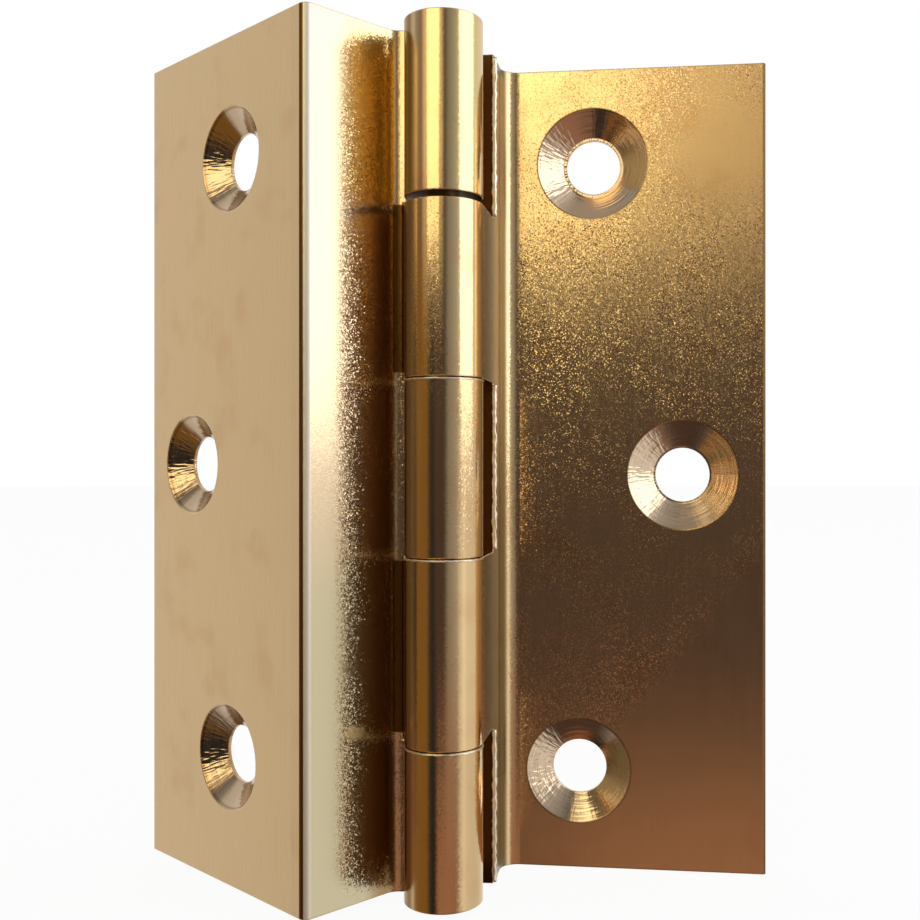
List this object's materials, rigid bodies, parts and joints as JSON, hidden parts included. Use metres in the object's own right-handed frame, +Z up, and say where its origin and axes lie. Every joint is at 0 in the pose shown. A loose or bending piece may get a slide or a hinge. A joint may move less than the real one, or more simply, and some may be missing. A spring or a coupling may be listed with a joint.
{
  "type": "cabinet butt hinge",
  "caption": "Double-cranked cabinet butt hinge: two folded brass-plated leaves with countersunk screw holes turn on one pin.",
  "frame": {"origin": "centre of the outline in plan, on the plane that the hinge stands on", "axes": "+Z up along the pin, -Y out of the countersunk side of the frame leaf's plate, +X along that plate towards its free edge"},
  "size_m": [0.0494, 0.016, 0.0641],
  "materials": {
    "frame_leaf": "bright brass plate over rolled sheet",
    "cranked_leaf": "bright brass plate over rolled sheet",
    "hinge_pin": "brass-plated wire"
  },
  "bodies": {
    "frame_leaf": {"frame_leaf": "frame_leaf"},
    "cranked_leaf": {"cranked_leaf": "cranked_leaf", "hinge_pin": "hinge_pin"}
  },
  "joints": [
    {"name": "hinge_swing", "type": "hinge", "parent": "frame_leaf", "child": "cranked_leaf", "pos_m": [0.00104, -0.00316, 0.03235], "axis": [0, 0, -1], "range_deg": [-217.4, 57.6]}
  ]
}
